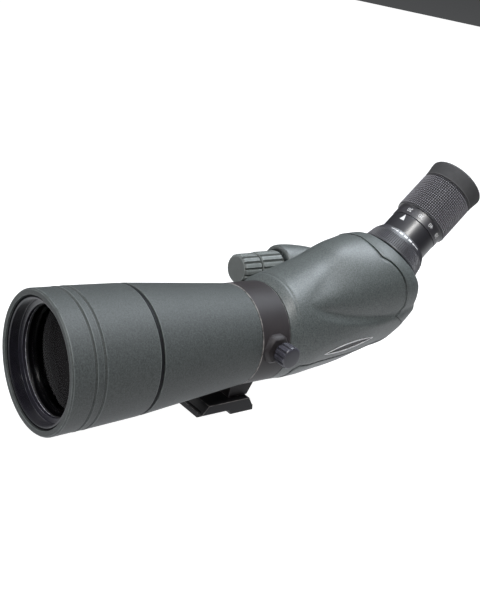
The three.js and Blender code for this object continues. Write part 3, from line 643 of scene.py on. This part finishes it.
# In the side view, as (station, height): the leaf's soft upper valley and sharp lower crease, and the seam.
LEAF_TOP = np.array([(180, 28.5), (185, 32), (191.3, 35.6), (198, 40.2), (209.3, 47), (217.3, 51.4),
                     (226.3, 55.1), (240, 60), (262, 68)])
LEAF_FOOT = np.array([(180, 28.5), (184, 27.1), (190, 25.1), (200.8, 22.2), (213.9, 19.7), (234.7, 17.3),
                      (252, 16.6), (264, 17.6), (290, 20)])
SEAM = np.array([(246.5, 90), (246.8, 62.5), (248.8, 56.8), (254, 54.6), (258, 51.2), (261.7, 46.8),
                 (265.7, 40.1), (268.3, 34), (270.3, 28.4), (271.6, 22.5), (268.7, 17.4), (265.6, 14.6),
                 (278.5, 7.2), (284, 0.4), (280, -5), (268, -10.5), (256, -14), (244.8, -15.9),
                 (222.3, -15.6), (206.6, -15.9), (191, -15.4), (180, -14), (176, -17), (174.5, -40),
                 (174, -60)])


def smoothed(rows, place):
    """Rows at any places along a list of them (0 is the first), on smooth curves through all of the rows."""
    i = np.minimum(place.astype(int), len(rows) - 2)
    a, b, c, d = (rows[np.clip(i + k, 0, len(rows) - 1)] for k in (-1, 0, 1, 2))
    f = (place - i)[:, None]
    return 0.5 * (2 * b + (c - a) * f + (2 * a - 5 * b + 4 * c - d) * f ** 2
                  + (3 * b - a - 3 * c + d) * f ** 3)


def smooth(value, low, high):
    f = np.clip((value - low) / (high - low), 0, 1)
    return f * f * (3 - 2 * f)


def leaf_relief(y, z):
    """How far the leaf on the side stands out or in: it rolls under into a sharp lower crease, and its
    upper edge is a soft valley below the shoulder."""
    top, foot = np.interp(y, *LEAF_TOP.T), np.interp(y, *LEAF_FOOT.T)
    middle = 0.5 * (top + foot)
    rise = -1.5 + 2.1 * smooth((top - z) / (top - middle + 1e-3), 0, 1)
    above = np.where(z > top, -1.5 * (1 - smooth(z - top, 0, 8)), rise)
    below = 0.6 - 3.0 * np.clip((middle - z) / (middle - foot + 1e-3), 0, 1) ** 2
    under = -2.4 * (1 - smooth(foot - z, 0, 7))
    relief = np.where(z > middle, above, np.where(z > foot, below, under))
    return 1.12 * relief * smooth(y, 180, 206) * (1 - 0.55 * smooth(y, 240, 270))


def crease_depth(y, z):
    """Depth of the soft line above the badge, and how far the skin under it leans in."""
    line = np.interp(y, [180, 196, 212, 229, 252, 266], [-2.5, 1.8, 5.8, 9.2, 11.1, 9.7])
    fade = 0.13 * (line + 18) * (1 - smooth(-18 - z, 0, 18))
    lean = np.where(z > -18, 0.13 * np.clip(line - z, 0, None), fade)
    depth = lean + 0.2 * np.clip(1 - np.abs(z - line) / 1.6, 0, 1)
    return depth * smooth(y, 182, 206) * (1 - smooth(y, 258, 276))


def beyond_seam(y, z):
    """Distance from the seam in the side view, positive on the rear frame's side."""
    distance, inside = np.full(y.shape, 1e9), np.zeros(y.shape, bool)
    for (y0, z0), (y1, z1) in zip(SEAM, SEAM[1:]):
        run = np.array((y1 - y0, z1 - z0))
        f = np.clip(((y - y0) * run[0] + (z - z0) * run[1]) / (run @ run), 0, 1)
        distance = np.minimum(distance, np.hypot(y - y0 - f * run[0], z - z0 - f * run[1]))
    ring = [*SEAM, (400, -60), (400, 90)]
    for (y0, z0), (y1, z1) in zip(ring, ring[1:] + ring[:1]):
        if z0 != z1:
            inside ^= ((z0 > z) != (z1 > z)) & (y < y0 + (z - z0) * (y1 - y0) / (z1 - z0))
    return np.where(inside, distance, -distance)


def housing_skin(inset, stations=60, sides=90, first=0.0, last=len(SECTIONS) - 1.0, pressed=False):
    """The housing's closed outer form, set in by a wall's thickness; pressed adds the leaf and the seam."""
    sections = smoothed(SECTIONS, np.linspace(first, last, stations + 1))
    y, z, tilt, top, bottom, half, square = sections[:, :, None].transpose(1, 0, 2)
    angle = np.linspace(0, -2 * np.pi, sides, endpoint=False)[None, :]
    c, s, tilt = np.cos(angle), np.sin(angle), np.radians(tilt)
    power = 2 / np.where(s > 0, square, 2)
    x = (half - inset) * np.sign(c) * np.abs(c) ** power
    rise = (np.where(s > 0, top, bottom) - inset) * np.sign(s) * np.abs(s) ** power
    if pressed:
        py, pz = y - rise * np.sin(tilt), z + rise * np.cos(tilt)
        x = x + np.sign(x) * (leaf_relief(py, pz) - crease_depth(py, pz)) * np.minimum(1, np.abs(x) / 8)
        gap = beyond_seam(py, pz)
        rolled = np.where(gap < 0, 0.45 * smooth(pz, 24, 36) + 0.5, 0) * (1 - smooth(-gap, 0, 2.6)) ** 1.5
        lip = 0.3 * (1 - smooth(gap, 0.8, 6.0)) - 0.5 * np.clip(1 - gap, 0, 1) ** 2
        swell = np.where(gap > 0, lip, 0) - rolled
        swell = swell - 0.45 * np.clip(1 - np.abs(py - 171.4) / 1.3, 0, 1) * (s > -0.2)
        size = np.hypot(x, rise)
        x, rise = x * (1 + swell / size), rise * (1 + swell / size)
    points = np.stack((x, y - rise * np.sin(tilt), z + rise * np.cos(tilt)), axis=-1)
    count = points.shape[0] * sides
    corners = [tuple(p) for p in (*points.reshape(-1, 3), points[0].mean(0), points[-1].mean(0))]
    faces = []
    for j in range(sides):
        k = (j + 1) % sides
        faces += [(i + j, i + k, i + sides + k, i + sides + j) for i in range(0, count - sides, sides)]
        faces += [(count, k, j), (count + 1, count - sides + j, count - sides + k)]
    mesh = bpy.data.meshes.new("skin")
    mesh.from_pydata(corners, [], faces)
    mesh.transform(ALONG_BARREL)
    return mesh


def seam_block(gap):
    """A thick plate that covers all of the rear frame's side of the seam, set back by a gap."""
    before, after = np.roll(SEAM, 1, 0), np.roll(SEAM, -1, 0)
    before[0], after[-1] = SEAM[0], SEAM[-1]
    run = after - before
    run /= np.hypot(*run.T)[:, None]
    line = SEAM + gap * np.stack((-run[:, 1], run[:, 0]), axis=1)
    return plate("seam_block", [*map(tuple, line), (345, -60), (345, 90)], -60, 60, ALONG_BARREL, 0)


KNOB_X, KNOB_Z, KNOB_FACE = -37.5, 29.4, 169.2
ALONG_SCREW = ALONG_BARREL @ Matrix.Translation((KNOB_X, KNOB_FACE, KNOB_Z))
WALL = 3.2
# The housing wears the barrel's coat, but its tone is painted about 1.7 times paler: painted light for the
# brighter light that falls on the housing.
housing_coat_lit_copy = speckled_coat("housing_coat_lit_copy", tuple(1.12 * c for c in GREEN), 0.40, 0.25)
bores = [
    ("DIFFERENCE", housing_skin(WALL, 30, 60, 3.0, 15.4)),
    ("DIFFERENCE", turned("bore", [(0, 150), (29.8, 150), (29.8, 182), (0, 182)], ALONG_BARREL, 0, 96)),
    ("DIFFERENCE", turned("socket_bore", [(0, 50), (23.3, 50), (23.3, 66), (0, 66)], ALONG_EYE, 0, 120)),
    ("DIFFERENCE", turned("knob_room", [(0, -15), (12, -15), (12, 38.7), (0, 38.7)], ALONG_SCREW, 0.4, 96)),
]
BADGE_Y, BADGE_Z, BADGE_LONG, BADGE_TALL, BADGE_TURN = 225.7, -4.9, 49.5, 7.4, 7.7


def badge_block(grow):
    """A leaf-shaped block through the housing's side, as long as the badge and grown or shrunk all round."""
    along, tall = BADGE_LONG / 2 + grow, BADGE_TALL / 2 + 0.8 * grow
    rim = [(f * along, tall * (1 - f * f)) for f in np.linspace(-1, 1, 33)]
    c, s = math.cos(math.radians(BADGE_TURN)), math.sin(math.radians(BADGE_TURN))
    ring = rim[:-1] + [(u, -v) for u, v in reversed(rim[1:])]
    outline = [(BADGE_Y + u * c - v * s, BADGE_Z + u * s + v * c) for u, v in ring]
    return plate("badge_block", outline, 22, 42, ALONG_BARREL, 0)


def badge_depth(inset):
    return housing_skin(inset, 150, 200, pressed=True)


def outer_housing():
    return housing_skin(0, 200, 280, pressed=True)


fit("housing_front_shell", worked("housing_front_shell", outer_housing(), *bores,
    ("DIFFERENCE", seam_block(0)),
    ("DIFFERENCE", worked("pocket", badge_block(0.3), ("DIFFERENCE", badge_depth(1.2))))),
    housing_coat_lit_copy, "scope", "green_coat_body", "housing_shell")
fit("housing_rear_frame", worked("housing_rear_frame", outer_housing(), *bores[:3],
    ("INTERSECT", seam_block(0.4))), housing_coat_lit_copy, "scope", "green_coat_body", "rear_frame")

# The badge is a blank leaf-shaped plate of charcoal plastic with a pale raised border, glued in a pocket.


def badge_face(name, tone, roughness):
    """Gloss moulding with a fine brushed grain along it and patches of paler dust."""
    material, wire, place = blank(name)
    brushed = wire.noise(wire.node("Mapping", {}, {"Vector": place, "Scale": (1.0, 0.12, 1.0)}), 2200.0)
    dust = wire.noise(place, 300.0, 3.0)
    wire.finish(wire.node("BsdfPrincipled", {}, {
        "Base Color": wire.mix(dust.between(0.35, 0.8), tone, tuple(min(1, 1.5 * c) for c in tone)),
        "Roughness": roughness + 0.2 * dust, "Normal": wire.bump(brushed, 0.15, 0.02)}, "BSDF"))
    return material


fit("badge_face", worked("badge_face", badge_block(-1.15), ("INTERSECT", badge_depth(0.3)),
    ("DIFFERENCE", badge_depth(0.9))), badge_face("badge_charcoal", (0.012, 0.0115, 0.013), 0.42), "scope",
    "badge", "badge_plate")
fit("badge_border", worked("badge_border", badge_block(0.0), ("DIFFERENCE", badge_block(-1.1)),
    ("INTERSECT", badge_depth(-0.35)), ("DIFFERENCE", badge_depth(0.9))),
    badge_face("badge_silver", (0.80, 0.80, 0.82), 0.3), "scope", "badge")

# ---- fairing over the focus screw ----
# Moulded with the shell and coated with it: a hollow-fronted tube that the knobs run into, fading into the
# shoulder behind them.
FAIRING = np.array([(38.4, 0, 0, 13.4), (39.8, 0, 0, 15), (46, 0.4, 0, 15.4), (55, 1.6, 0, 15),
                    (66, 4.5, 0, 14), (79, 8.5, -0.8, 12), (92, 13, -3.2, 9.6), (102, 17, -6.6, 5.6)])


def lofted(name, rows, place, sides=96, steps=6):
    """A closed body through round rows of (station, side, height, radius), smoothed between the rows."""
    whole = np.linspace(0, len(rows) - 1, steps * (len(rows) - 1) + 1)
    build = bmesh.new()
    angles = [2 * math.pi * j / sides for j in range(sides)]
    rings = [[build.verts.new((x + r * math.cos(angle), y, z + r * math.sin(angle))) for angle in angles]
             for y, x, z, r in smoothed(rows, whole)]
    for ring, after in zip(rings, rings[1:]):
        for j in range(sides):
            build.faces.new((ring[j - 1], ring[j], after[j], after[j - 1]))
    build.faces.new(rings[0])
    build.faces.new(rings[-1])
    return finished_mesh(name, build, place)


fit("screw_fairing", worked("screw_fairing", lofted("fairing", FAIRING, ALONG_SCREW),
    ("DIFFERENCE", housing_skin(0.3, 90, 140)),
    ("DIFFERENCE", turned("front_hollow", [(0, 30), (12.2, 30), (12.2, 40.6), (0, 40.6)],
                          ALONG_SCREW, 0, 96)),
    ("DIFFERENCE", turned("screw_room", [
        (0, 20), (5.5, 20), (5.5, 44), (9.4, 45.3), (9.4, 57), (5.9, 58), (5.9, 62), (3.6, 64), (3.6, 77),
        (0, 77)], ALONG_SCREW, 0, 64))), housing_coat_lit_copy, "scope", "green_coat_body", "focus_fairing")

# ---- focus knobs ----
# Two grey-green rubber-covered knobs on one axis: the rear one turns the focus screw, the front one is the
# slow drive. Each has fourteen shallow flutes, and the ridges between them are painted pale, partly as
# wear from use and partly as a painted highlight.


def knob_rubber(name, tone):
    """Smooth hard rubber: matt, faintly mottled, and much paler along the ridges, partly as rubbed wear and
    partly as a painted highlight.
    """
    material, wire, place = blank(name)
    grain = wire.noise(place, 1900.0, 3.0, 0.65)
    bloom = wire.noise(place, 80.0, 3.0)
    edge = wire.node("Attribute", {"attribute_name": "edge"}, {}, "Fac")
    rubbed_edge_and_highlight = edge * wire.noise(place, 300.0).between(0.25, 0.6)
    colour = wire.mix(bloom.between(0.3, 0.75), tone, tuple(1.35 * c for c in tone))
    # Ridges painted paler: partly rubbed wear, partly a painted highlight.
    colour = wire.mix(rubbed_edge_and_highlight * 0.6, colour, tuple(2.6 * c for c in tone))
    wire.finish(wire.node("BsdfPrincipled", {}, {
        "Base Color": colour, "Roughness": 0.52 + 0.16 * grain - 0.1 * rubbed_edge_and_highlight,
        "Normal": wire.bump(grain, 0.22, 0.05)}, "BSDF"))
    return material


green_rubber = knob_rubber("green_rubber", (0.105, 0.114, 0.110))
KNOB_RIBS = dict(ease=0.45, sides=14 * 16, ribs=14, depth=1.7, rib=grip_flute(0.40))
fit("coarse_knob", turned("coarse_knob", [
    (3.1, 16.7), (10.3, 16.7), (11.2, 17.6, 1), (11.2, 36.2, 1), (10.4, 37.4), (3.1, 37.4)], ALONG_SCREW,
    **KNOB_RIBS), green_rubber, "coarse_focus", "green_rubber", "coarse_focus_knob")
fit("fine_knob", turned("fine_knob", [
    (0, 0), (9.2, 0), (10.6, 1.5, 1), (10.6, 14.9, 1), (9.8, 16), (0, 16)], ALONG_SCREW, **KNOB_RIBS),
    green_rubber, "fine_focus", "green_rubber", "fine_focus_knob")

# ---- zoom eyepiece ----
# A lock ring holds the eyepiece's flange on the socket. Above it come the black index barrel, the ring with
# the zoom scale, its rubber grip and the rubber eyecup.
INDEX_R, SCALE_R, GRIP_R, EYECUP_R = 19.3, 19.6, 21.3, 22.3


def fine_rib(f):
    """Section of a straight knurl: a flat crest and a vee between."""
    return (0.0, 0.7) if f < 0.5 else (1 - abs(f - 0.75) / 0.25, 0.0)


satin_ano = anodised("satin_anodised", (0.021, 0.0195, 0.024), 0.33, 0.12, 1.9, TILT)
gloss_ano = anodised("gloss_anodised", (0.012, 0.0115, 0.015), 0.27, 0.05, 1.9, TILT)
lock_black = anodised("lock_black", (0.018, 0.017, 0.021), 0.42, 0.1, 1.7, TILT)
fit("lock_ring_turned", turned("lock_ring_turned", [
    (21.3, 63.3), (24.2, 63.3), (24.6, 63.8), (24.5, 64.6), (24.45, 65.0, 1), (22.9, 73.6, 1), (22.6, 74.2),
    (22.4, 75.2), (20.4, 79.0), (20.1, 79.4), (19.6, 79.4), (19.6, 75.8), (21.3, 74.6)], ALONG_EYE, 0.15,
    96 * 4, 96, 0.6, fine_rib), lock_black, "lock_ring_body", "black_anodised", "lock_ring")
fit("eyepiece_tube", turned("eyepiece_tube", [
    (15.6, 47.6), (14.2, 47.6), (14.2, 46), (17.3, 46), (17.3, 66.3), (20.9, 66.3), (20.9, 74.4),
    (INDEX_R, 74.4), (INDEX_R, 93.4), (17.2, 93.4), (17.2, 110), (15.6, 110)], ALONG_EYE, 0.25), gloss_ano,
    "eyepiece", "black_anodised", "eyepiece_barrel")
fit("zoom_scale_ring", turned("zoom_scale_ring", [
    (17.5, 93.8), (SCALE_R, 93.8), (SCALE_R, 101.7), (20.8, 101.7), (20.8, 101.9), (SCALE_R, 101.9),
    (SCALE_R, 133.5), (17.5, 133.5)], ALONG_EYE, 0.2), satin_ano, "zoom_ring_body", "black_anodised",
    "zoom_ring")


def wrapped(name, flat, radius, lean, at, turn, lift=0.05, thick=0.12):
    """Lays flat shapes round the eyepiece: x runs round it and y up it, from the station and angle given."""
    bmesh.ops.remove_doubles(flat, verts=flat.verts, dist=1e-5)
    for k in range(-9, 10):
        bmesh.ops.bisect_plane(flat, geom=flat.verts[:] + flat.edges[:] + flat.faces[:],
                               plane_co=(0.6 * k, 0, 0), plane_no=(1, 0, 0))
    walls = bmesh.ops.extrude_face_region(flat, geom=flat.faces[:])
    raised = {v for v in walls["geom"] if isinstance(v, bmesh.types.BMVert)}
    for spot in flat.verts:
        r = radius + lean * spot.co.y + lift - (0 if spot in raised else thick)
        angle = math.radians(90 - turn) - spot.co.x / radius
        spot.co = Vector((r * math.sin(angle), at + spot.co.y, r * math.cos(angle)))
    return finished_mesh(name, flat, ALONG_EYE)


def polygons(*outlines):
    flat = bmesh.new()
    for outline in outlines:
        flat.faces.new([flat.verts.new((x, y, 0)) for x, y in outline])
    return flat


def numeral(text, tall):
    """Flat faces of a number, centred."""
    curve = bpy.data.curves.new("numeral", "FONT")
    curve.body, curve.size, curve.align_x, curve.align_y = text, tall / 0.7, "CENTER", "CENTER"
    piece = bpy.data.objects.new("numeral", curve)
    scene.collection.objects.link(piece)
    bpy.context.view_layer.update()
    drawn = bpy.data.meshes.new_from_object(piece.evaluated_get(bpy.context.evaluated_depsgraph_get()))
    bpy.data.objects.remove(piece)
    flat = bmesh.new()
    flat.from_mesh(drawn)
    return flat


def print_white(name):
    """Silk-screened white ink, a little uneven and chipped."""
    material, wire, place = blank(name)
    chips = wire.noise(place, 1500.0, 3.0, 0.7)
    wire.finish(wire.node("BsdfPrincipled", {}, {
        "Base Color": wire.mix(chips.between(0.3, 0.7), (0.62, 0.62, 0.62), (0.86, 0.86, 0.86)),
        "Roughness": 0.45 + 0.2 * chips, "Normal": wire.bump(chips, 0.2, 0.01)}, "BSDF"))
    return material


white_ink = print_white("white_ink")
INDEX_TURN = 88.6
fit("index_mark", wrapped("index_mark", polygons([(-2.2, -2.5), (2.2, -2.5), (0, 2.5)]), INDEX_R, 0, 90.2,
    INDEX_TURN), white_ink, "eyepiece", "badge")
for step, figure in enumerate(("20", "30", "40", "50", "60")):
    fit("zoom_number_" + figure, wrapped("zoom_number", numeral(figure, 3.0), SCALE_R, 0, 97.6,
        INDEX_TURN - 30 * step), white_ink, "zoom_ring_body", "badge")
arrow = [(-3.4, -0.25), (1.4, -0.25), (1.4, -0.95), (3.4, 0), (1.4, 0.95), (1.4, 0.25), (-3.4, 0.25)]
bevel = (22.4 + 20.4) / 2
bar = ((-1.5, -0.8), (1.5, -0.8), (1.5, 0.8), (-1.5, 0.8))
bars = [[(x - 4.2 * f, y) for x, y in bar] for f in (-1, 0, 1)]
for name, mark, turn in (("lock_mark_near", [arrow], 27),
                         ("lock_mark_far", [[(-x, y) for x, y in arrow]], 79),
                         ("lock_mark_middle", bars, 53)):
    fit(name, wrapped(name, polygons(*mark), bevel, -0.53, 77.1, turn, 0.1, 0.3), white_ink,
        "lock_ring_body", "badge")


def soft_black_rubber(name, tone, roughness, raised=2.6):
    """Matt black rubber, dusty and dry, and painted paler where it stands up, partly as handling wear and
    partly as a painted highlight.
    """
    material, wire, place = blank(name)
    grain = wire.noise(place, 2600.0, 3.0, 0.7)
    bloom = wire.noise(place, 70.0, 4.0, 0.6)
    edge = wire.node("Attribute", {"attribute_name": "edge"}, {}, "Fac")
    colour = wire.mix(bloom.between(0.3, 0.75), tone, tuple(1.5 * c for c in tone))
    # Raised crests are painted paler by the given factor: handling wear and a painted highlight.
    colour = wire.mix(edge * 0.8, colour, tuple(raised * c for c in tone))
    wire.finish(wire.node("BsdfPrincipled", {}, {
        "Base Color": colour, "Roughness": roughness + 0.2 * grain, "Specular IOR Level": 0.45,
        "Normal": wire.bump(grain, 0.25, 0.04)}, "BSDF"))
    return material


# On the grip the pads' tops are painted twenty times paler than the rubber: a strong painted highlight on
# each pad, with some handling wear.
grip_rubber = soft_black_rubber("grip_rubber", (0.012, 0.0115, 0.0125), 0.45, 20.0)
GRIP_FIRST, GRIP_LAST, GRIP_ROWS = 102.8, 132.6, 17
pitch = (GRIP_LAST - GRIP_FIRST) / GRIP_ROWS
pads = [point for k in range(GRIP_ROWS) for point in (
    (GRIP_R - 0.75, GRIP_FIRST + pitch * (k + 0.05)), (GRIP_R, GRIP_FIRST + pitch * (k + 0.24), 1),
    (GRIP_R, GRIP_FIRST + pitch * (k + 0.82), 1), (GRIP_R - 0.75, GRIP_FIRST + pitch * (k + 0.98)))]


def pad_gap(f):
    """Section of the gap between two square pads of the grip."""
    return (0.0, 0.9) if f < 0.58 else (1.0, 0.0)


fit("zoom_grip_pads", turned("zoom_grip_pads", [
    (19.7, 101.9), (20.9, 101.9), (21.1, 102.3), *pads, (GRIP_R - 0.75, GRIP_LAST), (21.2, 133.2),
    (21.0, 133.5), (19.7, 133.5)], ALONG_EYE, 0.08, 84 * 5, 84, 0.75, pad_gap), grip_rubber,
    "zoom_ring_body", "black_rubber", "zoom_grip")
eyecup_rubber = soft_black_rubber("eyecup_rubber", (0.036, 0.035, 0.036), 0.66)
fit("eyecup_moulded", turned("eyecup_moulded", [
    (17.4, 134.1), (20.9, 134.1), (21.3, 134.8), (21.5, 138.5), (22.2, 144), (EYECUP_R, 145.9),
    (21.6, 146.8), (18.9, 146.8), (17.4, 144.8)], ALONG_EYE, 0.5), eyecup_rubber, "eyecup_body",
    "black_rubber", "eyecup")
fit("eye_lens_cell", turned("eye_lens_cell", [
    (12.4, 106), (15.4, 106), (15.4, 140), (14.9, 140), (11.9, 138.9), (11.6, 138.4), (13.2, 138.2),
    (13.2, 112), (12.4, 110)], ALONG_EYE, 0.15), satin_ano, "eyepiece", "black_anodised",
    "eye_lens_housing")
fit("eye_lens_glass", turned("eye_lens_glass", domed(13.1, 131.6, 136.4, 1.6, 1.8), ALONG_EYE, 0.05, 96),
    coated_glass("eye_glass", (0.012, 0.010, 0.04)), "eyepiece", "glass", "eye_lens")

# ---- parts inside, kept as the frame has them ----
# Lenses, cells, rods and fasteners that are out of sight or nearly so keep their shape, and each gets the
# finish of its material.
FINISHES = {
    "glass": lens_glass, "steel": steel, "brass": brass, "matt_black": flat_black,
    "black_anodised": satin_ano, "black_rubber": grip_rubber, "black_satin": collar_black,
    "green_coat_metal": green_coat, "green_coat_body": housing_coat_lit_copy, "green_rubber": green_rubber,
    "black_knob": knob_black}
for part in frame["record"]["subparts"]:
    node = frame["nodes"][part["node"]]
    for held in node.material_slots:
        held.material = FINISHES.get(part["material_slot"], flat_black)
